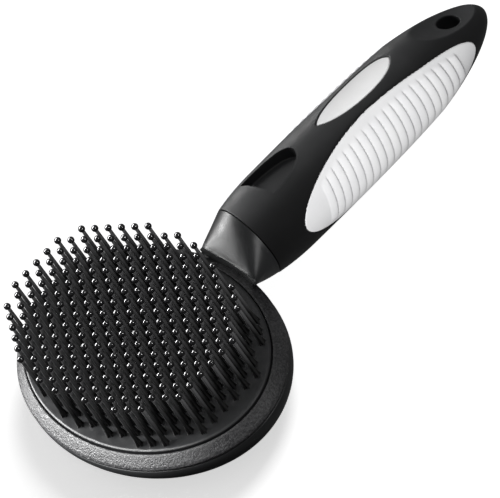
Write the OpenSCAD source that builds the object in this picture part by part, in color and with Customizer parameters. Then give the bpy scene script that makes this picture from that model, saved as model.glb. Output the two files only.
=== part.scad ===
// Bristle pet brush, lying on its back with the pins up.
// +X runs from the head to the handle, +Y across the head, +Z up through the pins.
// The origin is the middle of the flat that the head lies on.

/* [Head] */
// Length of the head in line with the handle
head_len = 77; // [72:0.5:84]
// Width of the head across the handle
head_wid = 109.6; // [104:0.5:118]
// Depth of the back shell, from its flat up to the part line
shell_depth = 11.5; // [10.5:0.25:13]
// Wall of the back shell
shell_wall = 2.2; // [1.8:0.1:2.6]
// Width of the rounding between the flat on the back and the side
back_round = 20; // [16:0.5:24]
// Height of the upright band between the rounded back and the part line
rim_band = 1.5; // [1:0.25:2.5]
// Width of the shell's rim under the front frame
rim_wid = 1.8; // [1.5:0.1:2.2]
// Depth of the ledge that the cushion's flange sits on
ledge_depth = 1.6; // [1.4:0.1:2]
// Width of that ledge
ledge_wid = 3.2; // [2.8:0.1:3.6]
// Bevel on each side of the part line
part_bevel = 0.35; // [0.2:0.05:0.6]

/* [Front frame] */
// Width of the ring between the head's edge and the cushion
ring_wid = 4; // [3.6:0.1:4.4]
// Thickness of the ring at its outer edge
ring_edge = 1.4; // [1.2:0.1:2]
// Rise of the ring from its outer edge to its inner edge
ring_rise = 0.5; // [0.2:0.1:0.9]
// Width of the tongue that fits inside the shell's rim
tongue_wid = 0.8; // [0.6:0.1:1]
// Depth of that tongue
tongue_deep = 1.1; // [0.8:0.1:1.3]

/* [Cushion] */
// Thickness of the rubber that the pins stand in
pad_wall = 1.4; // [1.2:0.1:1.6]
// Thickness of the cushion's side
pad_side = 1; // [0.8:0.1:1.2]
// Gap between the cushion and the ring
pad_gap = 0.3; // [0.2:0.05:0.5]
// Height of the cushion's shoulder above the part line
pad_rise = 5.1; // [4.4:0.1:6]
// Radius of that shoulder
pad_round = 1.4; // [1.2:0.1:1.5]
// Width of the flange outside the cushion's side
flange_wid = 1.4; // [1.1:0.1:1.6]
// Thickness of the flange
flange_wall = 1.5; // [1.2:0.05:1.55]

/* [Pins] */
// Distance between neighbouring pins
pin_pitch = 4.8; // [4.5:0.05:5.3]
// Distance from the cushion's side to the outermost pin centres
pin_margin = 2.3; // [2.2:0.1:3.5]
// Height of a ball's centre above the cushion
pin_height = 17.9; // [14:0.1:20]
// Diameter of the ball tip
ball_d = 2.25; // [1.8:0.05:2.6]
// Diameter of the shaft at its foot
shaft_foot_d = 1.5; // [1.3:0.05:1.8]
// Diameter of the shaft below the ball
shaft_tip_d = 1.15; // [0.9:0.05:1.3]
// Span of the four fins at the foot
fin_span = 2.6; // [2:0.1:3]
// Thickness of a fin
fin_wall = 0.55; // [0.4:0.05:0.7]
// Height of the fins
fin_height = 4.3; // [3:0.1:6]
// Diameter of the shank through the cushion
shank_d = 1.2; // [1:0.05:1.3]
// Diameter of the head under the cushion
pin_head_d = 1.9; // [1.6:0.05:2]
// Thickness of that head
pin_head_wall = 0.6; // [0.4:0.1:1]

/* [Neck] */
// Distance from the middle of the head to the collar line
collar_x = 46.8; // [45:0.1:52]
// Height of the handle's axis at the collar
axis_z = 17; // [16:0.25:19]
// Radius at the collar line
collar_r = 13.3; // [12.5:0.1:14]
// Half width of the neck where it leaves the head
neck_half = 14; // [12:0.1:15]
// Distance from the head's edge to the neck's upright front
neck_front = 0.9; // [0.6:0.1:1.5]
// Height of the top of that front above the handle's axis
neck_step = 0.2; // [0.1:0.1:0.8]
// Width of the groove at the collar
collar_gap = 0.7; // [0.4:0.1:1]
// Depth of that groove
collar_groove = 1.1; // [0.8:0.1:1.6]
// Length of the spigot in the neck
spigot_len = 6; // [4:0.5:7]
// Radius of the spigot at its root
spigot_root_r = 8; // [6:0.5:9]
// Radius of the spigot at its end
spigot_tip_r = 4; // [3:0.5:5]

/* [Handle] */
// Length of the handle from the collar line to its end
handle_len = 104.5; // [98:0.5:112]
// Radius of the handle at its fullest
belly_r = 14.7; // [14.2:0.1:15.2]
// Radius of the handle at the end of its grip
heel_r = 13.6; // [13:0.1:14]
// Angle by which the handle drops towards the floor
handle_drop = 2; // [1:0.1:2.2]
// Thickness of the soft sleeve over the hard core
sleeve_wall = 2.4; // [2:0.1:2.8]
// Distance from the handle's end to the core's end
core_short = 25; // [23:0.5:29]

/* [Thumb recess] */
// Distance from the collar line to the recess
scoop_start = 9.3; // [7:0.1:14]
// Length of the recess
scoop_len = 18.8; // [16:0.1:24]
// Distance by which the recess starts later at one side
scoop_lean = 3.6; // [0:0.1:5]
// Width of the recess
scoop_wid = 13; // [10:0.5:14]
// Depth of the recess below the handle's top line
scoop_deep = 4.9; // [4:0.1:5.5]

/* [Grips] */
// Distance from the collar line to the side grips
grip_start = 13.2; // [12:0.1:20]
// Distance from the handle's end to the side grips
grip_short = 11.5; // [9:0.1:14]
// Half height of a grip at its widest
grip_half = 12.1; // [10:0.1:12.4]
// Gap between a grip and the edge of its window
grip_gap = 0.12; // [0.1:0.01:0.2]
// Distance from one rib to the next
rib_pitch = 3.1; // [2.8:0.1:3.6]
// Width of a rib
rib_wid = 1.5; // [1.2:0.1:1.8]
// Height of a rib
rib_rise = 0.45; // [0.3:0.05:0.6]
// Plain margin between the ribs and the grip's edge
rib_margin = 1.6; // [1.2:0.1:2.4]

/* [Badge] */
// Distance from the collar line to the middle of the badge
badge_mid = 54.3; // [52:0.1:60]
// Length of the badge
badge_len = 32; // [26:0.5:36]
// Width of the badge
badge_wid = 10.2; // [8:0.1:11]
// Depth of the badge's seat
badge_seat = 1.2; // [0.9:0.1:1.6]
// Gap round the badge
badge_gap = 0.25; // [0.15:0.05:0.35]
// Depth of the badge's face below the handle's surface
badge_sunk = 0.2; // [0.1:0.05:0.4]

/* [Hanging hole] */
// Diameter of the hole
hole_d = 7.2; // [6:0.1:8.5]
// Distance from the handle's end to the hole's axis
hole_back = 12.2; // [11:0.1:14]
// Half thickness of the handle at the hole
dish_half = 6.3; // [5.8:0.1:7]
// Slope of the dished face there
dish_slope = 18.5; // [16:0.5:22]
// Radius of the dished face
dish_r = 52; // [44:1:64]

/* [Hidden] */
$fn = 180;
far = 400;
seat_gap = 0.1;
pin_gap = 0.05;

head_a = head_len / 2;
head_b = head_wid / 2;
part_z = shell_depth;
ledge_z = part_z - ledge_depth;
round_z = part_z - rim_band;

pad_in = ring_wid + pad_gap;
pad_top = part_z + pad_rise;

grip_end = handle_len - grip_short;
core_end = handle_len - core_short;
hole_s = handle_len - hole_back;
heel_s = 0.7 * handle_len;
belly_s = 16;

// Rows of pins run along X, half a pitch out of step with each other.
row_gap = pin_pitch * sin(60);
field_a = head_a - pad_in - pin_margin;
field_b = head_b - pad_in - pin_margin;
row_reach = 0.94;
rows = floor(2 * row_reach * field_b / row_gap) + 1;
function row_y(r) = (r - (rows + 1) / 2) * row_gap;
function row_half(r) = field_a * sqrt(1 - pow(row_y(r) / field_b, 2));
function row_step(r) = r % 2 == 0 ? 0 : pin_pitch / 2;
function row_xs(r) = let (n = ceil(field_a / pin_pitch) + 1)
    [for (i = [-n:n]) let (x = i * pin_pitch + row_step(r)) if (abs(x) <= row_half(r)) x];
function row_name(r) = str("pin_row_", r < 10 ? "0" : "", r);

function bezier(p, n) = [for (i = [0:n]) let (t = i / n, u = 1 - t)
    u * u * u * p[0] + 3 * u * u * t * p[1] + 3 * u * t * t * p[2] + t * t * t * p[3]];
function tail(list) = [for (i = [1:len(list) - 1]) list[i]];
function flipped(list) = [for (i = [len(list) - 1:-1:0]) [list[i].x, -list[i].y]];

function reversed(list) = [for (i = [len(list) - 1:-1:0]) list[i]];
function sum(list) = [for (v = list) 1] * list;
function turn_area(list) = let (n = len(list))
    sum([for (i = [0:n - 1]) cross(list[i], list[(i + 1) % n])]);

// The head's outline is an ellipse, and every step inside it is a true offset.
head_sides = 72;
function outline_point(k, in) = let (a = 360 * k / head_sides, side = [cos(a) / head_a, sin(a) / head_b])
    [head_a * cos(a), head_b * sin(a)] - in * side / norm(side);

module head_outline(in) {
    polygon([for (k = [0:head_sides - 1]) outline_point(k, in)]);
}

// A section swept round the head, with x as the distance outside the outline.
module sweep_head(section) {
    points = turn_area(section) > 0 ? section : reversed(section);
    count = len(points);
    polyhedron(
        [for (p = points, k = [0:head_sides - 1]) let (xy = outline_point(k, -p.x)) [xy.x, xy.y, p.y]],
        [for (i = [0:count - 1], k = [0:head_sides - 1])
            let (low = i * head_sides, high = (i + 1) % count * head_sides, next = (k + 1) % head_sides)
            [low + k, high + k, high + next, low + next]]);
}

// The neck, lofted from a keel under the head to the round collar and widest at its axis.
root_x = 0.7 * head_a;
front_x = head_a - neck_front;
neck_end = collar_x + 0.5;
neck_level = axis_z + neck_step;
neck_root = [for (t = [0, 0.35, 0.7]) [root_x + t * (front_x - root_x), neck_level]];
neck_top = bezier([[front_x, neck_level], [front_x + 1, neck_level + 3], [neck_end - 4.8, axis_z + 8],
                   [neck_end, axis_z + collar_r]], 12);
neck_sides = 40;
collar_low = axis_z - collar_r;
function neck_low(x) = x > front_x ? collar_low
    : 1 + (collar_low - 1) * sin(90 * (x - root_x) / (front_x - root_x));
function neck_share(x) = max(0, (x - front_x) / (neck_end - front_x));
function bowed(v, power) = sign(v) * pow(abs(v), 2 / power);
function neck_ring(x, top) = let (t = neck_share(x), w = neck_half + (collar_r - neck_half) * t,
                                  up = 2.6 - 0.6 * t, down = 1.05 + 0.95 * t, low = neck_low(x))
    [for (k = [0:neck_sides - 1]) let (a = 360 * k / neck_sides, high = a < 180, p = high ? up : down)
        [x, w * bowed(cos(a), p), axis_z + (high ? top - axis_z : axis_z - low) * bowed(sin(a), p)]];

module neck_loft() {
    rings = [for (p = concat(neck_root, neck_top)) neck_ring(p.x, p.y)];
    count = len(rings);
    sides = [for (i = [0:count - 2], k = [0:neck_sides - 1])
        let (a = i * neck_sides + k, b = i * neck_sides + (k + 1) % neck_sides)
        [a, a + neck_sides, b + neck_sides, b]];
    first = [for (k = [0:neck_sides - 1]) k];
    last = [for (k = [neck_sides - 1:-1:0]) (count - 1) * neck_sides + k];
    polyhedron([for (ring = rings) each ring], concat(sides, [first, last]));
}

// The neck cut off square to the handle, with the seat for the spigot.
module neck() {
    difference() {
        neck_loft();
        on_handle() {
            spigot(seat_gap);
            translate([-collar_gap / 2, 0, 0]) rotate([0, 90, 0]) cylinder(r = 2 * belly_r, h = belly_r);
        }
    }
}

// Everything under the part line, which climbs from the ring to the middle of the neck.
module below_part() {
    rotate([90, 0, 0]) linear_extrude(far, center = true)
        polygon([[-far, -far], [-far, part_z], [head_a + 0.2, part_z], [head_a + 2.4, axis_z],
                 [far, axis_z], [far, -far]]);
}

module on_handle() {
    translate([collar_x, 0, axis_z]) rotate([0, handle_drop, 0]) children();
}

// A solid turned about the handle's axis from points of distance and radius.
module handle_turn(points) {
    rotate([0, 90, 0]) rotate_extrude() polygon([for (p = points) [p.y, p.x]]);
}

handle_line = concat(
    bezier([[0, collar_r], [0.28 * belly_s, collar_r + 0.8], [0.57 * belly_s, belly_r],
            [belly_s, belly_r]], 8),
    tail(bezier([[belly_s, belly_r], [0.34 * handle_len, belly_r + 0.2],
                 [0.54 * handle_len, belly_r + 0.1], [heel_s, heel_r]], 10)),
    tail(bezier([[heel_s, heel_r], [heel_s + 12, heel_r - 1.6], [handle_len - 0.5, 0.53 * heel_r],
                 [handle_len, 0]], 14)));

// The handle's outer form, sunk by inset and cut off at an end.
module handle_form(inset = 0, end = far) {
    points = [for (p = handle_line) if (p.y > inset && p.x < end) [p.x, p.y - inset]];
    last = points[len(points) - 1];
    handle_turn(concat([[0, 0]], points, [[last.x, 0]]));
}

module spigot(gap = 0) {
    handle_turn([[-spigot_len - gap, 0], [-spigot_len - gap, spigot_tip_r + gap],
                 [0, spigot_root_r + gap], [0, 0]]);
}

module collar_flange() {
    translate([-collar_gap / 2, 0, 0]) rotate([0, 90, 0])
        cylinder(r = collar_r - collar_groove, h = collar_gap);
}

// The outline of a side grip, seen from its side.
function grip_outline(gap) = let (
    half = grip_half - gap,
    start = grip_start + gap,
    end = grip_end - gap,
    mid = start + 0.45 * (end - start),
    top = concat(
        bezier([[start, 0], [start, 0.58 * half], [start + 0.22 * (end - start), half], [mid, half]], 12),
        tail(bezier([[mid, half], [mid + 0.4 * (end - mid), half], [end, 0.62 * half], [end, 0]], 14))))
    concat(top, tail(flipped(top)));

module grip_prism(side, gap) {
    rotate([90, 0, 0]) mirror([0, 0, side > 0 ? 1 : 0])
        linear_extrude(far) polygon(grip_outline(gap));
}

// Ribs lean near the neck and bow near the handle's end.
rib_count = floor((grip_end - grip_start - 2 * rib_margin) / rib_pitch) - 4;
rib_first = grip_start + 10;
function rib_lean(n) = 3.4 - 2.2 * n / rib_count;
function rib_bow(n) = n < rib_count / 2 ? 0.6 : 0.6 + 3.2 * (n - rib_count / 2) / rib_count;
function rib_line(n, shift) = [for (v = [-1:0.125:1])
    [rib_first + n * rib_pitch + shift + rib_lean(n) * v - rib_bow(n) * v * v, v * grip_half]];

module rib_prism(side, n) {
    rotate([90, 0, 0]) mirror([0, 0, side > 0 ? 1 : 0]) linear_extrude(far)
        polygon(concat(rib_line(n, -rib_wid / 2), reversed(rib_line(n, rib_wid / 2))));
}

module side_grip(side) {
    intersection() {
        grip_prism(side, grip_gap);
        difference() {
            handle_form();
            handle_form(sleeve_wall);
        }
    }
    intersection() {
        grip_prism(side, grip_gap + rib_margin);
        union() for (n = [0:rib_count - 1]) rib_prism(side, n);
        difference() {
            handle_form(-rib_rise);
            handle_form(0.3);
        }
    }
}

module badge_outline(gap) {
    half = badge_wid / 2 - gap;
    reach = badge_len / 2 - gap;
    top = concat(
        bezier([[-reach, 0], [-0.8 * reach, 0.75 * half], [-0.3 * reach, half], [0.12 * reach, half]], 10),
        tail(bezier([[0.12 * reach, half], [0.55 * reach, half], [0.9 * reach, 0.8 * half],
                     [reach, 0]], 10)));
    polygon(concat(top, tail(flipped(top))));
}

module badge_prism(gap) {
    translate([badge_mid, 0, 0]) linear_extrude(far) badge_outline(gap);
}

module scoop_prism() {
    half = scoop_wid / 2;
    top = bezier([[0, half], [0.5 * scoop_len, 0.97 * half], [scoop_len, 0.8 * half],
                  [scoop_len, 0]], 12);
    low = bezier([[scoop_lean, -half], [0.55 * scoop_len, -0.97 * half], [scoop_len, -0.8 * half],
                  [scoop_len, 0]], 12);
    translate([scoop_start, 0, belly_r - scoop_deep]) linear_extrude(far)
        polygon(concat(top, tail(reversed(low))));
}

module tail_dish() {
    translate([hole_s, 0, dish_half]) rotate([0, dish_slope, 0]) translate([0, 0, dish_r])
        sphere(r = dish_r);
}

module tail_dishes() {
    tail_dish();
    mirror([0, 0, 1]) tail_dish();
}

module back_shell() color("#191a1c") {
    inner = rim_wid + ledge_wid;
    inner_round = back_round - inner;
    plate_in = back_round + 1;
    sweep_head(concat(
        [[-plate_in, shell_wall], [-plate_in, 0]],
        [for (t = [0:9:90]) [-back_round * (1 - sin(t)), round_z * (1 - cos(t))]],
        [[0, part_z - part_bevel], [-part_bevel, part_z], [-rim_wid, part_z], [-rim_wid, ledge_z],
         [-inner, ledge_z]],
        [for (t = [90:-18:0]) [-inner - inner_round * (1 - sin(t)),
                               shell_wall + (ledge_z - 1 - shell_wall) * (1 - cos(t))]]));
    linear_extrude(shell_wall) head_outline(plate_in);
    difference() {
        intersection() {
            neck();
            below_part();
        }
        translate([0, 0, shell_wall]) linear_extrude(far) head_outline(inner);
        translate([0, 0, ledge_z]) linear_extrude(far) head_outline(rim_wid);
    }
}

module front_frame() color("#2a2b2d") {
    ring_top = part_z + ring_edge;
    tongue_out = rim_wid + seat_gap;
    tongue_in = tongue_out + tongue_wid;
    sweep_head([
        [0, part_z + part_bevel], [0, ring_top - 0.5], [-0.15, ring_top - 0.2], [-0.5, ring_top],
        [0.4 - ring_wid, ring_top + ring_rise], [-ring_wid, ring_top + ring_rise - 0.4],
        [-ring_wid, part_z], [-tongue_in, part_z], [-tongue_in, part_z - tongue_deep],
        [-tongue_out, part_z - tongue_deep], [-tongue_out, part_z], [-part_bevel, part_z]]);
    difference() {
        neck();
        below_part();
        linear_extrude(far) head_outline(neck_front);
    }
}

module cushion_pad() color("#2f3033") {
    side_in = pad_in + pad_side;
    flat_in = pad_in + pad_round;
    flange_in = pad_in - flange_wid;
    flange_z = ledge_z + flange_wall;
    sweep_head(concat(
        [for (t = [0:18:90]) [-flat_in + pad_round * sin(t), pad_top - pad_round * (1 - cos(t))]],
        [[-pad_in, flange_z], [-flange_in, flange_z], [-flange_in, ledge_z], [-side_in, ledge_z],
         [-side_in, pad_top - pad_wall], [-flat_in, pad_top - pad_wall]]));
    translate([0, 0, pad_top - pad_wall]) linear_extrude(pad_wall) difference() {
        head_outline(flat_in);
        for (r = [1:rows], x = row_xs(r)) translate([x, row_y(r)]) circle(d = shank_d + 2 * pin_gap);
    }
}

// One pin: a head under the cushion, a shank through it, four fins, a tapered shaft and a ball.
module pin() {
    under = -pad_wall - pin_gap;
    ball_r = ball_d / 2;
    tip_r = shaft_tip_d / 2;
    rotate_extrude() {
        polygon([[0, under - pin_head_wall], [pin_head_d / 2, under - pin_head_wall],
                 [pin_head_d / 2, under], [shank_d / 2, under], [shank_d / 2, pin_gap],
                 [shaft_foot_d / 2, pin_gap], [tip_r, pin_height - ball_r / 2], [tip_r, pin_height],
                 [0, pin_height]]);
        intersection() {
            translate([0, pin_height]) circle(ball_r);
            translate([0, pin_height - ball_d]) square(2 * ball_d);
        }
    }
    for (turn = [0, 90]) rotate([0, 0, turn]) rotate([90, 0, 0])
        linear_extrude(fin_wall, center = true)
            polygon([[-fin_span / 2, pin_gap], [fin_span / 2, pin_gap], [fin_span / 2 - 0.15, 0.8],
                     [tip_r, fin_height], [-tip_r, fin_height], [0.15 - fin_span / 2, 0.8]]);
}

module pin_row(r) color("#0b0b0c") {
    for (x = row_xs(r)) translate([x, row_y(r), pad_top]) pin();
}

module handle_core() color("#17181a") on_handle() {
    difference() {
        union() {
            spigot();
            collar_flange();
            handle_form(sleeve_wall, core_end);
        }
        scoop_prism();
    }
}

module handle_sleeve() color("#1d1e20") on_handle() {
    difference() {
        handle_form();
        collar_flange();
        translate([-1, 0, 0]) rotate([0, 90, 0]) cylinder(r = 2 * belly_r, h = 1 + collar_gap / 2);
        handle_form(sleeve_wall, core_end);
        for (side = [-1, 1]) difference() {
            grip_prism(side, 0);
            handle_form(sleeve_wall);
        }
        difference() {
            badge_prism(0);
            handle_form(badge_seat);
        }
        scoop_prism();
        tail_dishes();
        translate([hole_s, 0, 0]) cylinder(d = hole_d, h = 4 * dish_half, center = true);
    }
}

module grip_left() color("#d9dadb") on_handle() side_grip(1);

module grip_right() color("#d9dadb") on_handle() side_grip(-1);

module badge_plate() color("#e4e4e4") on_handle() {
    intersection() {
        badge_prism(badge_gap);
        difference() {
            handle_form(badge_sunk);
            handle_form(badge_seat);
        }
    }
}

back_shell();
front_frame();
cushion_pad();
handle_core();
handle_sleeve();
grip_left();
grip_right();
badge_plate();
for (r = [1:rows]) pin_row(r);
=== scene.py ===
import math

import bpy
import numpy as np
from mathutils import Matrix, Vector


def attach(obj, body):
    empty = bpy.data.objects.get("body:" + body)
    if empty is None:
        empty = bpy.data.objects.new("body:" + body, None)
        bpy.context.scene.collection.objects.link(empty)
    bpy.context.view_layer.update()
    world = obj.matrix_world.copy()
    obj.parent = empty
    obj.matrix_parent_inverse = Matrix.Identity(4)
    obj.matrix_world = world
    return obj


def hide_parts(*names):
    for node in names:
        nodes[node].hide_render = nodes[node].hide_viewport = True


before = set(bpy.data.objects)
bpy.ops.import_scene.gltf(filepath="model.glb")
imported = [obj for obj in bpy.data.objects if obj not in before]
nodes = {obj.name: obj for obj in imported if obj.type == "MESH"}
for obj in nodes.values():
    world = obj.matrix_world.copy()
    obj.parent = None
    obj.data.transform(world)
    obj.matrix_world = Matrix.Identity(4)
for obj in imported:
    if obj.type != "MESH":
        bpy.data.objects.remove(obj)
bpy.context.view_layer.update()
scene = bpy.context.scene
MM = 0.001

# Sizes in millimetres and angles in radians, as in the part but for the ring's slope, the cushion's edge,
# the seam at the collar and the height of the ribs
HEAD_A, HEAD_B = 38.5, 54.8
PART_Z, SHELL_WALL, BACK_ROUND, ROUND_Z = 11.5, 2.2, 20.0, 10.0
RIM_WID, LEDGE_WID, LEDGE_Z, PART_BEVEL = 1.8, 3.2, 9.9, 0.35
RING_WID, RING_TOP, SLOPE_RISE, BEAD = 4.0, 12.9, 3.4, 0.35
PAD_IN, PAD_TOP, PAD_ROUND = 4.25, 16.6, 0.8
PITCH, ROW_REACH, MARGIN = 4.8, 0.94, 2.3
BALL_R = 1.125
COLLAR_X, AXIS_Z, DROP = 46.8, 17.0, math.radians(2)
COLLAR_R, SEAM = 13.3, 0.3
NECK_HALF, NECK_FRONT, NECK_STEP = 14.0, 0.9, 0.2
HANDLE_LEN, BELLY_R, BELLY_S, HEEL_R = 104.5, 14.7, 16.0, 13.6
HEEL_S = 0.7 * HANDLE_LEN
SCOOP_START, SCOOP_LEN, SCOOP_LEAN, SCOOP_WID, SCOOP_DEEP = 9.3, 18.8, 3.6, 13.0, 4.9
GRIP_START, GRIP_END, GRIP_HALF, GRIP_GAP = 13.2, 93.0, 12.1, 0.12
RIB_PITCH, RIB_COUNT, RIB_RISE, RIB_MARGIN = 3.1, 20, 0.6, 1.6
BADGE_MID, BADGE_LEN, BADGE_WID, BADGE_GAP, BADGE_SUNK = 54.3, 32.0, 10.2, 0.25, 0.2
HOLE_R, HOLE_S, DISH_HALF, DISH_SLOPE, DISH_R = 3.6, 92.3, 6.3, math.radians(18.5), 52.0

# How finely the forms are divided
HEAD_SIDES, NECK_SPAN, NECK_ROWS, RECESS_SIDES = 256, 96, 44, 360
GRIP_ROWS, GRIP_COLUMNS, BADGE_ROWS, BADGE_COLUMNS = 420, 73, 140, 33
# How far in from the head's outline the last rings of the shell and the cushion lie. Rings more than
# 27 mm in fold over themselves, as these do: the fault is described in the report.
SHELL_IN, CLOTH_IN, CLOTH_STEP = 30.0, 36.0, 0.45
# How many columns the neck's side corners and its normals are averaged over, to each side
CORNER_REACH, NORMAL_REACH = 16, 14
# The floor's glow and its colours for other rays and for the camera, and the sky's light on the brush
FLOOR_GLOW, FLOOR_DARK, FLOOR_LIGHT, SKY_LIGHT = 0.61, 0.2, 0.8, 0.2


# Camera
def aim(obj, place, target, up=Vector((0, 0, 1))):
    back = (place - target).normalized()
    right = up.cross(back).normalized()
    turn = Matrix((right, back.cross(right), back)).transposed()
    obj.matrix_world = Matrix.Translation(place) @ turn.to_4x4()


right = Vector((0.6767, -0.5973, -0.4305)).normalized()
up = Vector((0.7081, 0.3677, 0.6028)).normalized()
back = right.cross(up).normalized()
pixels_per_mm = 3.266
distance_mm = 4996.0
sensor_mm = 36
picture_wide, picture_tall = 500, 498
# Where the middle of the cushion's top lies in the picture
middle_x, middle_y = 146.0, 350.4
target = (Vector((0, 0, PAD_TOP)) + right * ((picture_wide / 2 - middle_x) / pixels_per_mm)
          + up * ((middle_y - picture_tall / 2) / pixels_per_mm)) * MM
camera_data = bpy.data.cameras.new("camera")
camera_data.sensor_width = sensor_mm
camera_data.lens = sensor_mm * pixels_per_mm * distance_mm / picture_wide
camera_data.clip_start = 0.5
camera_data.clip_end = 20
camera = bpy.data.objects.new("camera", camera_data)
scene.collection.objects.link(camera)
aim(camera, target + back * distance_mm * MM, target, up)
scene.camera = camera


# Materials
class Nodes:
    def __init__(self, name, color, roughness):
        self.material = bpy.data.materials.new(name)
        self.material.use_nodes = True
        self.tree = self.material.node_tree
        self.shader = self.tree.nodes["Principled BSDF"]
        self.set("Base Color", (*color, 1))
        self.set("Roughness", roughness)
        self.coords = self.add("ShaderNodeTexCoord").outputs["Object"]

    def set(self, socket, value):
        self.shader.inputs[socket].default_value = value

    def add(self, kind, **inputs):
        node = self.tree.nodes.new(kind)
        for key, value in inputs.items():
            node.inputs[key.replace("_", " ")].default_value = value
        return node

    def link(self, out, into):
        self.tree.links.new(out, into)

    def noise(self, size_mm, detail=2.0, rough=0.5, stretch=(1, 1, 1)):
        place = self.add("ShaderNodeMapping", Scale=stretch)
        self.link(self.coords, place.inputs["Vector"])
        node = self.add("ShaderNodeTexNoise", Scale=1000 / size_mm, Detail=detail, Roughness=rough)
        self.link(place.outputs["Vector"], node.inputs["Vector"])
        return node.outputs["Fac"]

    def spread(self, value, low, high, bottom, top):
        node = self.add("ShaderNodeMapRange")
        for i, v in zip((1, 2, 3, 4), (low, high, bottom, top)):
            node.inputs[i].default_value = v
        self.link(value, node.inputs[0])
        return node.outputs[0]

    def vary_color(self, fac, first, second):
        mix = self.add("ShaderNodeMix")
        mix.data_type = "RGBA"
        mix.inputs[6].default_value = (*first, 1)
        mix.inputs[7].default_value = (*second, 1)
        self.link(fac, mix.inputs[0])
        self.link(mix.outputs[2], self.shader.inputs["Base Color"])
        return mix

    def bump(self, height, depth_mm, strength=1.0, before=None):
        node = self.add("ShaderNodeBump", Strength=strength, Distance=depth_mm * MM)
        self.link(height, node.inputs["Height"])
        if before is not None:
            self.link(before, node.inputs["Normal"])
        self.link(node.outputs["Normal"], self.shader.inputs["Normal"])
        return node.outputs["Normal"]

    def rounded(self, radius_mm):
        node = self.add("ShaderNodeBevel", Radius=radius_mm * MM)
        node.samples = 6
        self.link(node.outputs["Normal"], self.shader.inputs["Normal"])
        return node.outputs["Normal"]


# A fine grain, with uneven sheen, and uneven colour where a second colour is given
def grained(name, dark, light, roughness, grain, depth, edge=None):
    m = Nodes(name, dark, roughness)
    if light is not None:
        m.vary_color(m.spread(m.noise(9, 4), 0.35, 0.65, 0, 1), dark, light)
    m.link(m.spread(m.noise(5, 3), 0.3, 0.7, roughness - 0.05, roughness + 0.06),
           m.shader.inputs["Roughness"])
    normal = m.rounded(edge) if edge else None
    normal = m.bump(m.noise(grain, 1.5, 0.6), depth, before=normal)
    m.bump(m.noise(grain * 6, 2), depth * 0.6, 0.5, before=normal)
    return m


shell_mat = grained("shell_plastic", (0.016, 0.017, 0.018), (0.021, 0.022, 0.023), 0.42, 0.45, 0.02)
frame_mat = Nodes("frame_plastic", (0.022, 0.022, 0.024), 0.4)
speckle = frame_mat.noise(0.7, 2.5, 0.75)
frame_mat.vary_color(frame_mat.spread(speckle, 0.38, 0.66, 0, 1),
                     (0.006, 0.006, 0.007), (0.050, 0.050, 0.052))
frame_mat.link(frame_mat.spread(frame_mat.noise(0.9, 2), 0.35, 0.65, 0.33, 0.5),
               frame_mat.shader.inputs["Roughness"])
frame_mat.bump(speckle, 0.2)
core_mat = grained("core_plastic", (0.020, 0.021, 0.022), (0.026, 0.027, 0.028), 0.45, 0.5, 0.02, 0.3)
sleeve_mat = grained("soft_sleeve", (0.014, 0.0145, 0.0155), (0.018, 0.0185, 0.020), 0.5, 0.35, 0.012)
pad_mat = grained("cushion_rubber", (0.010, 0.0105, 0.0115), (0.014, 0.0145, 0.0155), 0.44, 0.6, 0.03)
ball_mat = grained("ball_tips", (0.004, 0.004, 0.0045), (0.006, 0.006, 0.0065), 0.1, 1.2, 0.0004)
shaft_mat = grained("pin_shafts", (0.07, 0.07, 0.072), None, 0.4, 1.2, 0.004)
# Painted shade: the shafts' colour darkens toward their feet, standing in for the shade among the pins
axes = shaft_mat.add("ShaderNodeSeparateXYZ")
shaft_mat.link(shaft_mat.coords, axes.inputs[0])
height = shaft_mat.spread(axes.outputs["Z"], (PAD_TOP + 5) * MM, (PAD_TOP + 18) * MM, 0, 1)
shaft_mat.vary_color(height, (0.003, 0.003, 0.003), (0.08, 0.08, 0.082))
neck_mat = grained("neck_plastic", (0.020, 0.021, 0.022), (0.027, 0.028, 0.029), 0.34, 0.35, 0.008)
grip_mat = grained("soft_grip", (0.80, 0.80, 0.81), (0.84, 0.84, 0.845), 0.62, 0.4, 0.012)
badge_mat = grained("badge_plastic", (0.82, 0.82, 0.82), (0.86, 0.86, 0.86), 0.35, 1.5, 0.006)


# Shapes
def bezier(p, count=60):
    t = np.linspace(0, 1, count + 1)[:, None]
    p = np.array(p, float)
    return (1 - t) ** 3 * p[0] + 3 * (1 - t) ** 2 * t * p[1] + 3 * (1 - t) * t * t * p[2] + t ** 3 * p[3]


def smooth(t):
    t = np.clip(t, 0, 1)
    return t * t * (3 - 2 * t)


def mesh_piece(name, points, faces, m, node, slot, angle=40, normals=None):
    mesh = bpy.data.meshes.new(name)
    mesh.from_pydata((np.asarray(points) * MM).tolist(), [], [list(map(int, f)) for f in faces])
    mesh.validate()
    mesh.polygons.foreach_set("use_smooth", [True] * len(mesh.polygons))
    mesh.set_sharp_from_angle(angle=math.radians(angle))
    if normals is not None:
        rest = [(0, 0, 0)] * (len(points) - len(normals))
        mesh.normals_split_custom_set_from_vertices(normals.tolist() + rest)
    mesh.materials.append(m.material)
    obj = bpy.data.objects.new(name, mesh)
    scene.collection.objects.link(obj)
    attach(obj, "root")
    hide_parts(node)
    return obj


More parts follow.
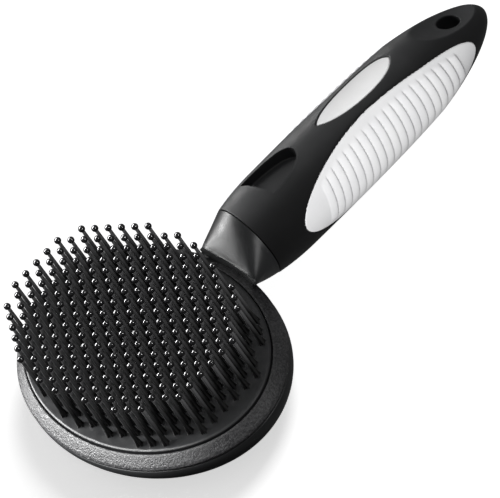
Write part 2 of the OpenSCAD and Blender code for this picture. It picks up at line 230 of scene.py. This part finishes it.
class Builder:
    def __init__(self):
        self.points = []
        self.faces = []
        self.count = 0

    def add(self, points):
        points = np.asarray(points, float).reshape(-1, 3)
        first = self.count
        self.points.append(points)
        self.count += len(points)
        return first

    # Quads between the rows of a grid of points; a ring is closed across its columns.
    def grid(self, points, ring=False, keep=None, flip=False):
        rows, columns = points.shape[:2]
        first = self.add(points)
        i, k = np.meshgrid(np.arange(rows - 1), np.arange(columns if ring else columns - 1), indexing="ij")
        n = (k + 1) % columns
        a, b, c, d = (first + v for v in (i * columns + k, (i + 1) * columns + k, (i + 1) * columns + n,
                                          i * columns + n))
        quads = np.stack([a, b, c, d] if not flip else [d, c, b, a], -1)
        if keep is not None:
            quads = quads[keep]
        self.faces += quads.reshape(-1, 4).tolist()
        return first

    def cap(self, first, count, center, flip=False):
        middle = self.add([center])
        for k in range(count):
            ends = (first + k, first + (k + 1) % count)
            self.faces.append([middle, *(ends if not flip else ends[::-1])])

    def piece(self, name, *rest, **more):
        return mesh_piece(name, np.vstack(self.points), self.faces, *rest, **more)


# The head's outline, moved inward
def outline(inside, count=HEAD_SIDES):
    a = np.linspace(0, 2 * np.pi, count, endpoint=False)
    side = np.stack([np.cos(a) / HEAD_A, np.sin(a) / HEAD_B], -1)
    side /= np.linalg.norm(side, axis=1)[:, None]
    return np.stack([HEAD_A * np.cos(a), HEAD_B * np.sin(a)], -1) - inside * side


def swept(section):
    return np.stack([np.column_stack([outline(-x), np.full(HEAD_SIDES, z)]) for x, z in section])


# Each point replaced by the mean of itself and its neighbours along a closed axis
def blurred(points, reach, axis):
    return np.mean([np.roll(points, k, axis) for k in range(-reach, reach + 1)], 0)


def arc(x, z, radius, start, end, steps=6):
    t = np.radians(np.linspace(start, end, steps + 1))
    return list(zip(x + radius * np.cos(t), z + radius * np.sin(t)))


# The neck, whose two halves belong to the shell and the front frame
FRONT_X = HEAD_A - NECK_FRONT
NECK_END = COLLAR_X + 0.5
COLLAR_LOW = AXIS_Z - COLLAR_R
top_line = bezier([[FRONT_X, AXIS_Z + NECK_STEP], [FRONT_X + 1, AXIS_Z + NECK_STEP + 3],
                   [NECK_END - 4.8, AXIS_Z + 8], [NECK_END, AXIS_Z + COLLAR_R]])


def bowed(v, power):
    return np.sign(v) * np.abs(v) ** (2 / power)


def neck_point(x, angle, high):
    t = np.clip((x - FRONT_X) / (NECK_END - FRONT_X), 0, 1)
    wide = NECK_HALF + (COLLAR_R - NECK_HALF) * t
    root = 0.7 * HEAD_A
    low = np.where(x > FRONT_X, COLLAR_LOW,
                   1 + (COLLAR_LOW - 1) * np.sin(np.pi / 2 * np.clip((x - root) / (FRONT_X - root), 0, 1)))
    power = 2.6 - 0.6 * t if high else 1.05 + 0.95 * t
    if not high:
        power = power + (2 - power) * (1 - smooth(np.abs(np.sin(angle)) / 0.6))
    rise = np.interp(x, top_line[:, 0], top_line[:, 1]) - AXIS_Z if high else AXIS_Z - low
    y = wide * bowed(np.cos(angle), power)
    return np.stack([x, y, AXIS_Z + rise * bowed(np.sin(angle), power)], -1)


def collar_plane(z):
    return COLLAR_X + (-SEAM / 2 + (z - AXIS_Z) * math.sin(DROP)) / math.cos(DROP)


FRONT_LOW = 12.4


def front_x(y):
    edge = outline(NECK_FRONT, 2048)
    edge = edge[edge[:, 0] > 0]
    order = np.argsort(edge[:, 1])
    return np.interp(y, edge[order, 1], edge[order, 0])


def neck_rows(high):
    columns = NECK_SPAN + 1
    angle = np.linspace(0, np.pi, columns) if high else np.linspace(np.pi, 2 * np.pi, columns)
    start = front_x(NECK_HALF * bowed(np.cos(angle), 2.6 if high else 1.05))
    if not high:
        deep = neck_point(start, angle, high)[:, 2] < FRONT_LOW
        start = np.where(deep, 0.72 * HEAD_A, start)
    end = np.full(columns, COLLAR_X)
    for _ in range(3):
        end = collar_plane(neck_point(end, angle, high)[:, 2])
    x = start + (end - start) * neck_steps[:, None]
    return neck_point(x, np.broadcast_to(angle, x.shape), high)


# Where the two halves meet at the sides, the corner is rounded over a few columns
neck_steps = np.linspace(0, 1, NECK_ROWS) ** 1.3
halves = np.concatenate([neck_rows(True), neck_rows(False)[:, 1:-1]], 1)
soft = blurred(halves, CORNER_REACH, 1)
side_gap = np.abs((np.arange(2 * NECK_SPAN) + NECK_SPAN // 2) % NECK_SPAN - NECK_SPAN // 2)
share = smooth(1.5 - side_gap / CORNER_REACH)[None, :, None] * smooth((1 - neck_steps) / 0.2)[:, None, None]
reach = np.abs(halves[..., 1]).max(1) / np.abs(halves * (1 - share) + soft * share)[..., 1].max(1)
soft[..., 1] *= reach[:, None]
halves = halves * (1 - share) + soft * share
across = np.roll(halves, 1, 1) - np.roll(halves, -1, 1)
neck_normals = np.cross(np.gradient(halves, axis=0), across)
neck_normals /= np.linalg.norm(neck_normals, axis=2)[..., None] + 1e-9
neck_normals = blurred(neck_normals, NORMAL_REACH, 1)
neck_normals /= np.linalg.norm(neck_normals, axis=2)[..., None] + 1e-9


def half_of(rows, high):
    return rows[:, :NECK_SPAN + 1] if high else np.concatenate([rows[:, NECK_SPAN:], rows[:, :1]], 1)


def neck_half(name, high, node, slot):
    body = half_of(halves, high)
    inward = np.array([COLLAR_X, 0, AXIS_Z]) - body[-1]
    inward[:, 0] = 0
    inward /= np.linalg.norm(inward, axis=1)[:, None]
    neck = Builder()
    neck.grid(body, flip=True)
    neck.grid(np.stack([body[-1], body[-1] + 0.9 * inward, body[-1] + 3 * inward]), flip=True)
    if high:
        low = body[0].copy()
        low[:, 1] *= 0.68
        low[:, 0] = front_x(low[:, 1])
        low[:, 2] = FRONT_LOW
        neck.grid(np.stack([low, body[0]]), flip=True)
    neck.piece(name, neck_mat, node, slot, normals=half_of(neck_normals, high).reshape(-1, 3))


# The shell
outer = [(-BACK_ROUND * (1 - math.sin(t)), ROUND_Z * (1 - math.cos(t)))
         for t in np.radians(np.arange(0, 91, 4.5))]
shell = Builder()
inner = RIM_WID + LEDGE_WID
section = ([(-SHELL_IN, 0.0)] + outer + [(0, PART_Z - PART_BEVEL - 0.1), (-0.08, PART_Z - PART_BEVEL + 0.08),
           (-PART_BEVEL, PART_Z - 0.04), (-PART_BEVEL - 0.15, PART_Z), (-RIM_WID, PART_Z),
           (-RIM_WID, LEDGE_Z), (-inner, LEDGE_Z)]
           + [(-inner - 15 * (1 - math.sin(t)), SHELL_WALL + (LEDGE_Z - 1 - SHELL_WALL) * (1 - math.cos(t)))
              for t in np.radians(np.arange(90, -1, -9))] + [(-SHELL_IN, SHELL_WALL)])
first = shell.grid(swept(section), ring=True, flip=True)
shell.cap(first, HEAD_SIDES, (0, 0, 0), flip=True)
shell.cap(first + (len(section) - 1) * HEAD_SIDES, HEAD_SIDES, (0, 0, SHELL_WALL))
shell.piece("shell_body", shell_mat, "back_shell", "shell")

# The front frame
ring = Builder()
section = ([(-RIM_WID - 0.1, PART_Z), (-PART_BEVEL - 0.1, PART_Z), (-PART_BEVEL, PART_Z + 0.03),
            (-0.06, PART_Z + PART_BEVEL - 0.06), (0, PART_Z + PART_BEVEL + 0.1)]
           + arc(-0.45, RING_TOP - 0.7, 0.45, 0, 48)
           + [(-RING_WID * u, RING_TOP - 0.35 + SLOPE_RISE * u + 0.08 * math.sin(math.pi * u))
              for u in np.linspace(0.09, 0.84, 12)]
           + arc(BEAD - RING_WID, RING_TOP + 0.673 * SLOPE_RISE, BEAD, 49, 180)
           + [(-RING_WID, PART_Z), (-RIM_WID - 0.1, PART_Z)])
ring.grid(swept(section), ring=True, flip=True)
ring.piece("ring_body", frame_mat, "front_frame", "frame")

neck_half("neck_low", False, "back_shell", "shell")
neck_half("neck_high", True, "front_frame", "frame")

# The cushion, which swells a little round each pin's foot
row_gap = PITCH * math.sin(math.radians(60))
field_a, field_b = HEAD_A - PAD_IN - MARGIN, HEAD_B - PAD_IN - MARGIN
rows = int(2 * ROW_REACH * field_b / row_gap) + 1
feet = []
for r in range(1, rows + 1):
    y = (r - (rows + 1) / 2) * row_gap
    half = field_a * math.sqrt(1 - (y / field_b) ** 2)
    for i in range(-9, 10):
        x = i * PITCH + (0 if r % 2 == 0 else PITCH / 2)
        if abs(x) <= half:
            feet.append((x, y))
feet = np.array(feet)

pad = Builder()
flat_in = PAD_IN + PAD_ROUND
side = ([(-PAD_IN, PART_Z - 0.6), (-PAD_IN, PAD_TOP - PAD_ROUND)]
        + arc(-flat_in, PAD_TOP - PAD_ROUND, PAD_ROUND, 10, 90, 8))
side += [(-s, PAD_TOP) for s in np.arange(flat_in + CLOTH_STEP, CLOTH_IN, CLOTH_STEP)]
cloth = swept(side)
flat = cloth[:, :, 2] > PAD_TOP - 0.3
gap = np.full(flat.shape, 9.0)
gap[flat] = np.min(np.linalg.norm(cloth[flat][:, None, :2] - feet[None], axis=2), axis=1)
cloth[..., 2] += np.where(flat, 0.13 * np.exp(-(gap / 1.25) ** 2) - 0.10 * smooth((gap - 1.2) / 1.4), 0)
first = pad.grid(cloth, ring=True, flip=True)
pad.cap(first + (len(side) - 1) * HEAD_SIDES, HEAD_SIDES, (0, 0, PAD_TOP))
cushion = pad.piece("cushion", pad_mat, "cushion_pad", "cushion")

# The handle's outer form
handle_line = np.vstack([
    bezier([[0, COLLAR_R], [0.28 * BELLY_S, COLLAR_R + 0.8], [0.57 * BELLY_S, BELLY_R], [BELLY_S, BELLY_R]]),
    bezier([[BELLY_S, BELLY_R], [0.34 * HANDLE_LEN, BELLY_R + 0.2], [0.54 * HANDLE_LEN, BELLY_R + 0.1],
            [HEEL_S, HEEL_R]])[1:],
    bezier([[HEEL_S, HEEL_R], [HEEL_S + 12, HEEL_R - 1.6], [HANDLE_LEN - 0.5, 0.53 * HEEL_R],
            [HANDLE_LEN, 0]], 200)[1:]])


def radius(s):
    return np.interp(s, handle_line[:, 0], handle_line[:, 1])


def placed(points):
    s, y, z = points[..., 0], points[..., 1], points[..., 2]
    return np.stack([COLLAR_X + s * math.cos(DROP) + z * math.sin(DROP), y,
                     AXIS_Z - s * math.sin(DROP) + z * math.cos(DROP)], -1)


# Signed distance to a closed outline, negative inside
def distance(points, line):
    shape = points.shape[:-1]
    points = points.reshape(-1, 2)
    start, end = line, np.roll(line, -1, 0)
    result = np.empty(len(points))
    for i in range(0, len(points), 4000):
        p = points[i:i + 4000, None]
        along = np.clip(np.sum((p - start) * (end - start), -1) / np.sum((end - start) ** 2, -1), 0, 1)
        near = np.linalg.norm(p - start - along[..., None] * (end - start), axis=-1).min(1)
        above = (start[:, 1] > p[..., 1]) != (end[:, 1] > p[..., 1])
        part = (p[..., 1] - start[:, 1]) / (end[:, 1] - start[:, 1] + 1e-12)
        cross = start[:, 0] + part * (end[:, 0] - start[:, 0])
        inside = np.sum(above & (p[..., 0] < cross), 1) % 2 == 1
        result[i:i + 4000] = np.where(inside, -near, near)
    return result.reshape(shape)


def closed(top, low=None):
    low = top * [1, -1] if low is None else low
    return np.vstack([top, low[::-1][1:-1] if np.allclose(top[0], low[0]) else low[::-1][1:]])


def grip_line(gap):
    half, start, end = GRIP_HALF - gap, GRIP_START + gap, GRIP_END - gap
    mid = start + 0.45 * (end - start)
    return closed(np.vstack([
        bezier([[start, 0], [start, 0.58 * half], [start + 0.22 * (end - start), half], [mid, half]], 50),
        bezier([[mid, half], [mid + 0.4 * (end - mid), half], [end, 0.62 * half], [end, 0]], 60)[1:]]))


def badge_line(gap):
    half, reach = BADGE_WID / 2 - gap, BADGE_LEN / 2 - gap
    return closed(np.vstack([
        bezier([[-reach, 0], [-0.8 * reach, 0.75 * half], [-0.3 * reach, half], [0.12 * reach, half]], 40),
        bezier([[0.12 * reach, half], [0.55 * reach, half], [0.9 * reach, 0.8 * half], [reach, 0]], 40)[1:]])
                  + [BADGE_MID, 0])


def scoop_line():
    half = SCOOP_WID / 2
    top = bezier([[0, half], [0.5 * SCOOP_LEN, 0.97 * half], [SCOOP_LEN, 0.8 * half], [SCOOP_LEN, 0]], 50)
    low = bezier([[SCOOP_LEAN, -half], [0.55 * SCOOP_LEN, -0.97 * half], [SCOOP_LEN, -0.8 * half],
                  [SCOOP_LEN, 0]], 50)
    return np.vstack([top, low[::-1][1:]]) + [SCOOP_START, 0]


# How far an edge rounded over by a radius drops, at a distance outside it
def lip(gap, size):
    inside = np.clip(1 - gap / size, 0, 1)
    return size * (1 - np.sqrt(1 - inside ** 2))


# The sleeve, as heights over a fine grid round the handle's axis
line_s = np.linspace(SEAM / 2, HANDLE_LEN, 4000)
line_r = radius(line_s)
length = np.concatenate([[0], np.cumsum(np.hypot(np.diff(line_s), np.diff(line_r)))])
row_lengths = np.concatenate([[0, 0.05, 0.12, 0.22], np.arange(0.4, length[-1], 0.3), [length[-1]]])
s_rows = np.interp(row_lengths, length, line_s)
upper = np.radians(np.linspace(-12, 192, 190))
lower = np.radians(np.linspace(192, 348, 70))[1:-1]
turns = np.concatenate([upper, lower])
s, a = np.meshgrid(s_rows, turns, indexing="ij")
r = radius(s)
r[:4] -= np.array([0.2, 0.1, 0.04, 0.01])[:, None]
y, z = r * np.cos(a), r * np.sin(a)

window = distance(np.stack([s, z], -1), grip_line(0))
drop = np.where(window < 0, 1.6 * smooth(-window / 0.5), lip(window, 0.35))

top_side = z > 0
gap = np.where(top_side, distance(np.stack([s, y], -1), badge_line(0)), 9)
drop = np.maximum(drop, np.where(gap < 0, 0.15 + 1.1 * smooth(-gap / 0.35), lip(gap, 0.3)))
r = r - drop

scoop_gap = np.where(top_side, distance(np.stack([s, y], -1), scoop_line()), 9)

dish_s = HOLE_S + DISH_R * math.sin(DISH_SLOPE)
dish_z = DISH_HALF + DISH_R * math.cos(DISH_SLOPE)
lift = dish_z * np.abs(np.sin(a))
under = lift ** 2 - ((s - dish_s) ** 2 + dish_z ** 2 - DISH_R ** 2)
dish_radius = np.where(under > 0, lift - np.sqrt(np.maximum(under, 0)), 99)
dish_radius = np.where(dish_radius > 0, dish_radius, 99)
blend = 0.35
h = np.clip(0.5 + 0.5 * (dish_radius - r) / blend, 0, 1)
r = dish_radius * (1 - h) + r * h - blend * h * (1 - h) * (np.abs(dish_radius - r) < blend)
r = np.maximum(r, 0)

skin = np.stack([s, r * np.cos(a), r * np.sin(a)], -1)
hole_gap = np.hypot(s - HOLE_S, skin[..., 1]) - HOLE_R
corner = (hole_gap < 0.25) | (scoop_gap < 0.2)
keep = ~(corner[:-1] & corner[1:] & np.roll(corner, -1, 1)[:-1] & np.roll(corner, -1, 1)[1:])
sleeve = Builder()
sleeve.grid(placed(skin), ring=True, keep=keep, flip=True)
end_ring = skin[:1] * [1, 0, 0] + skin[:1] * [0, 0.9, 0.9]
sleeve.grid(placed(np.concatenate([end_ring, skin[:1]])), ring=True, flip=True)

# The hanging hole, from its rounded mouth in one dished face to the other
turn = np.linspace(0, 2 * np.pi, 96, endpoint=False)


def dish_height(s, y):
    return dish_z - np.sqrt(DISH_R ** 2 - (s - dish_s) ** 2 - y ** 2)


tube = []
mouth = ((0.75, 0.05), (0.62, -0.03), (0.42, -0.02), (0.25, 0.05), (0.1, 0.2), (0.02, 0.38), (0, 0.6))
for extra, sink in mouth:
    hs, hy = HOLE_S + (HOLE_R + extra) * np.cos(turn), (HOLE_R + extra) * np.sin(turn)
    tube.append(np.stack([hs, hy, dish_height(hs, hy) - sink], -1))
tube += [row * [1, 1, -1] for row in tube[::-1]]
sleeve.grid(placed(np.stack(tube)), ring=True, flip=True)

# The thumb recess, from its rounded lip down to its flat floor
rim = scoop_line()
steps = np.linalg.norm(np.roll(rim, -1, 0) - rim, axis=1)
length = np.concatenate([[0], np.cumsum(steps)])
even = np.linspace(0, length[-1], RECESS_SIDES, endpoint=False)
rim = np.stack([np.interp(even, length, np.append(rim[:, i], rim[0, i])) for i in (0, 1)], -1)
rim = blurred(rim, 6, 0)
forward = np.roll(rim, -1, 0) - np.roll(rim, 1, 0)
forward /= np.linalg.norm(forward, axis=1)[:, None]
normal = np.stack([-forward[:, 1], forward[:, 0]], -1)
normal *= np.sign(np.sum(normal * (rim - rim.mean(0)), 1).sum())
scoop_floor = BELLY_R - SCOOP_DEEP + 0.06
cup = []
for out in (0.95, 0.8, 0.65, 0.5, 0.35, 0.2, 0.1, 0.03, 0):
    at = rim + out * normal
    height = np.sqrt(np.maximum(radius(at[:, 0]) ** 2 - at[:, 1] ** 2, 1)) - lip(out, 0.7)
    cup.append(np.column_stack([at, height + (0.02 if out < 0.9 else -0.1)]))
for inset, rise in ((0.02, 0.5), (0.1, 0.2), (0.25, 0.05), (0.5, 0.0)):
    cup.append(np.column_stack([rim - inset * normal, np.full(len(rim), scoop_floor + rise)]))
center = [*rim.mean(0), scoop_floor]
floor_edge = cup[-1]
for share in (0.25, 0.5, 0.75, 0.95):
    cup.append(floor_edge * (1 - share) + np.array(center) * share)
first = sleeve.grid(placed(np.stack(cup)), ring=True)
sleeve.cap(first + (len(cup) - 1) * RECESS_SIDES, RECESS_SIDES, placed(np.array(center)))
sleeve.piece("sleeve_skin", sleeve_mat, "handle_sleeve", "sleeve", angle=60)


# Steps from 0 to 1 and from -1 to 1 that lie closer together at both ends
def crowded(count):
    return (1 - np.cos(np.linspace(0, np.pi, count))) / 2


def crowded_both(count):
    return np.sin(np.linspace(-np.pi / 2, np.pi / 2, count))


# A grid inside a symmetric outline: shares of its length by shares of its width
def spanned(line, u, v, tip):
    s = line[:, 0].min() + u * (line[:, 0].max() - line[:, 0].min())
    half_line = line[:len(line) // 2 + 1]
    half = np.interp(s, half_line[:, 0], half_line[:, 1])
    half[0] = half[-1] = tip
    return np.broadcast_to(s[:, None], (len(u), len(v))), half[:, None] * v


def border(face):
    return np.concatenate([face[:, 0], face[-1, 1:], face[::-1, -1][1:], face[0, ::-1][1:-1]])


# The grips, with soft ribs that fade out before the edge
def rib_height(s, z, gap):
    v = z / GRIP_HALF
    n = (s - GRIP_START - 10) / RIB_PITCH
    for _ in range(4):
        lean = 3.4 - 2.2 * n / RIB_COUNT
        bow = 0.6 + 3.2 * np.maximum(n - RIB_COUNT / 2, 0) / RIB_COUNT
        n = (s - GRIP_START - 10 - lean * v + bow * v * v) / RIB_PITCH
    phase = n - np.floor(n)
    wave = np.where(phase < 0.8, np.sin(np.pi / 2 * phase / 0.8), smooth((1 - phase) / 0.2))
    rows_fade = smooth((z + 11.5) / 9) * smooth((10.4 - z) / 1.6)
    held = (n > 0) & (n < RIB_COUNT)
    return RIB_RISE * wave * held * smooth((gap - 0.7 * RIB_MARGIN) / 1.3) * rows_fade


def grip(name, node, side):
    line = grip_line(GRIP_GAP)
    u = 0.55 * crowded(GRIP_ROWS) + 0.45 * np.linspace(0, 1, GRIP_ROWS)
    v = 0.6 * crowded_both(GRIP_COLUMNS) + 0.4 * np.linspace(-1, 1, GRIP_COLUMNS)
    s, z = spanned(line, u, v, 0.02)
    gap = -distance(np.stack([s, z], -1), line)
    gap = np.maximum(gap, 0)
    out = radius(s) - lip(gap, 0.45) + rib_height(s, z, gap)
    y = side * np.sqrt(np.maximum(out ** 2 - z ** 2, 1))
    builder = Builder()
    face = np.stack([s, y, z], -1)
    builder.grid(placed(face), flip=side > 0)
    edge = border(face)
    depth = [edge]
    for sink in (0.5, 1.4):
        lower = edge.copy()
        lower[:, 1] -= side * sink
        depth.append(lower)
    builder.grid(placed(np.stack(depth)), ring=True, flip=side < 0)
    builder.piece(name, grip_mat, node, "grip", angle=50)


grip("grip_skin_left", "grip_left", 1)
grip("grip_skin_right", "grip_right", -1)


# The badge, bare and a little crowned
line = badge_line(BADGE_GAP)
s, y = spanned(line, crowded(BADGE_ROWS), crowded_both(BADGE_COLUMNS), 0.01)
gap = np.maximum(-distance(np.stack([s, y], -1), line), 0)
out = radius(s) - BADGE_SUNK - lip(gap, 0.35)
face = np.stack([s, y, np.sqrt(out ** 2 - y ** 2)], -1)
badge = Builder()
badge.grid(placed(face))
edge = border(face)
badge.grid(placed(np.stack([edge, edge - [0, 0, 0.8]])), ring=True, flip=True)
badge.piece("badge_face", badge_mat, "badge_plate", "badge")

# What stays as built: the core and the pins
for name, node in nodes.items():
    if node.hide_render:
        continue
    mesh = node.data
    mesh.materials.clear()
    if name == "handle_core":
        mesh.materials.append(core_mat.material)
        continue
    mesh.materials.append(shaft_mat.material)
    mesh.materials.append(ball_mat.material)
    heights = np.empty(len(mesh.vertices) * 3)
    mesh.vertices.foreach_get("co", heights)
    top = heights[2::3].max()
    for face in mesh.polygons:
        face.material_index = int(face.center[2] > top - 2 * BALL_R * MM)


# Floor, world and lamps
floor_mesh = bpy.data.meshes.new("floor")
floor_mesh.from_pydata([(-6, -6, 0), (6, -6, 0), (6, 6, 0), (-6, 6, 0)], [], [(0, 1, 2, 3)])
floor = bpy.data.objects.new("floor", floor_mesh)
scene.collection.objects.link(floor)
floor_nodes = Nodes("floor_white", (0.5, 0.5, 0.5), 0.9)
floor_nodes.set("Specular IOR Level", 0.1)
path = floor_nodes.add("ShaderNodeLightPath")
glow = floor_nodes.add("ShaderNodeMath")
glow.operation = "MULTIPLY"
glow.inputs[1].default_value = FLOOR_GLOW
floor_nodes.link(path.outputs["Is Camera Ray"], glow.inputs[0])
floor_nodes.set("Emission Color", (1, 1, 1, 1))
floor_nodes.vary_color(path.outputs["Is Camera Ray"], (FLOOR_DARK,) * 3, (FLOOR_LIGHT,) * 3)
floor_nodes.link(glow.outputs[0], floor_nodes.shader.inputs["Emission Strength"])
floor_mesh.materials.append(floor_nodes.material)

world = bpy.data.worlds.new("world")
world.use_nodes = True
scene.world = world
sky = world.node_tree.nodes["Background"]
sky.inputs["Color"].default_value = (1, 1, 1, 1)
sky_path = world.node_tree.nodes.new("ShaderNodeLightPath")
sky_level = world.node_tree.nodes.new("ShaderNodeMapRange")
sky_level.inputs[3].default_value = SKY_LIGHT
sky_level.inputs[4].default_value = 1.0
world.node_tree.links.new(sky_path.outputs["Is Camera Ray"], sky_level.inputs[0])
world.node_tree.links.new(sky_level.outputs[0], sky.inputs["Strength"])


# A lamp lights every piece, or only those listed. Every piece shades it, or only those in blocked_by.
# Its place is a direction and a distance from its target, and lengths are in metres.
def lamp(name, direction, distance, width, height, watts, only=None, target=(0.045, 0, 0.015),
         up=Vector((0, 0, 1)), blocked_by=None):
    data = bpy.data.lights.new(name, "AREA")
    data.shape = "RECTANGLE"
    data.size, data.size_y, data.energy = width, height, watts
    obj = bpy.data.objects.new(name, data)
    scene.collection.objects.link(obj)
    spot = Vector(target)
    aim(obj, spot + Vector(direction).normalized() * distance, spot, up)
    if only:
        group = bpy.data.collections.new(name)
        for piece in only:
            group.objects.link(piece)
        obj.light_linking.receiver_collection = group
    if blocked_by:
        group = bpy.data.collections.new(name + "_shadow")
        for piece in blocked_by:
            group.objects.link(piece)
        obj.light_linking.blocker_collection = group


shown = [o for o in scene.objects if o.type == "MESH" and not o.hide_render]
brush = [o for o in shown if o != floor]
pins = [o for o in brush if o.name.startswith("pin_row")]
head = [o for o in brush if o.name.startswith(("shell", "ring", "cushion"))]
neck = [o for o in brush if o.name.startswith("neck")]
grips = [o for o in brush if o.name.startswith(("grip", "badge"))]
handle = [o for o in brush if o.name.startswith(("sleeve", "handle"))]
lamp("pins_left", (-0.30, 0.64, 0.71), 0.7, 0.12, 0.9, 36, pins, up=up + 0.35 * right)
lamp("pins_front", (0.25, -0.78, 0.57), 0.7, 0.12, 0.14, 4.2, pins, up=up)
lamp("head_left", (-0.55, 0.53, 0.50), 0.7, 0.12, 0.9, 18, head, up=Vector((-0.3, -0.78, 0.64)))
lamp("neck_left", (-0.54, 0.84, 0.02), 0.7, 0.08, 0.45, 3.0, neck, blocked_by=neck)
lamp("neck_right", (-0.3, -0.78, 0.52), 0.7, 0.3, 0.5, 1.5, neck, up=Vector((1, 0, 0)), blocked_by=neck)
lamp("handle_left", (-0.379, 0.669, 0.634), 0.7, 0.1, 0.4, 3.6, handle)
lamp("handle_side", (0.05, 0.96, 0.28), 0.7, 0.1, 0.5, 1.8, handle, up=Vector((1, 0, 0)))
lamp("grips_left", (-0.379, 0.669, 0.634), 0.7, 0.1, 0.4, 2.4, grips)
lamp("small_front", (0.371, -0.474, 0.799), 0.7, 0.05, 0.05, 0.6, head + grips)
lamp("overhead", (0.1, 0.2, 1), 0.9, 0.8, 0.8, 1.4, brush)
lamp("grip_fill", (-0.55, -0.8, 0.3), 0.9, 0.5, 0.5, 7.2, grips)
lamp("floor_key", (0.85, 0.3, 0.75), 2.5, 1.2, 1.2, 46, [floor], blocked_by=head)

scene.view_settings.view_transform = "Standard"
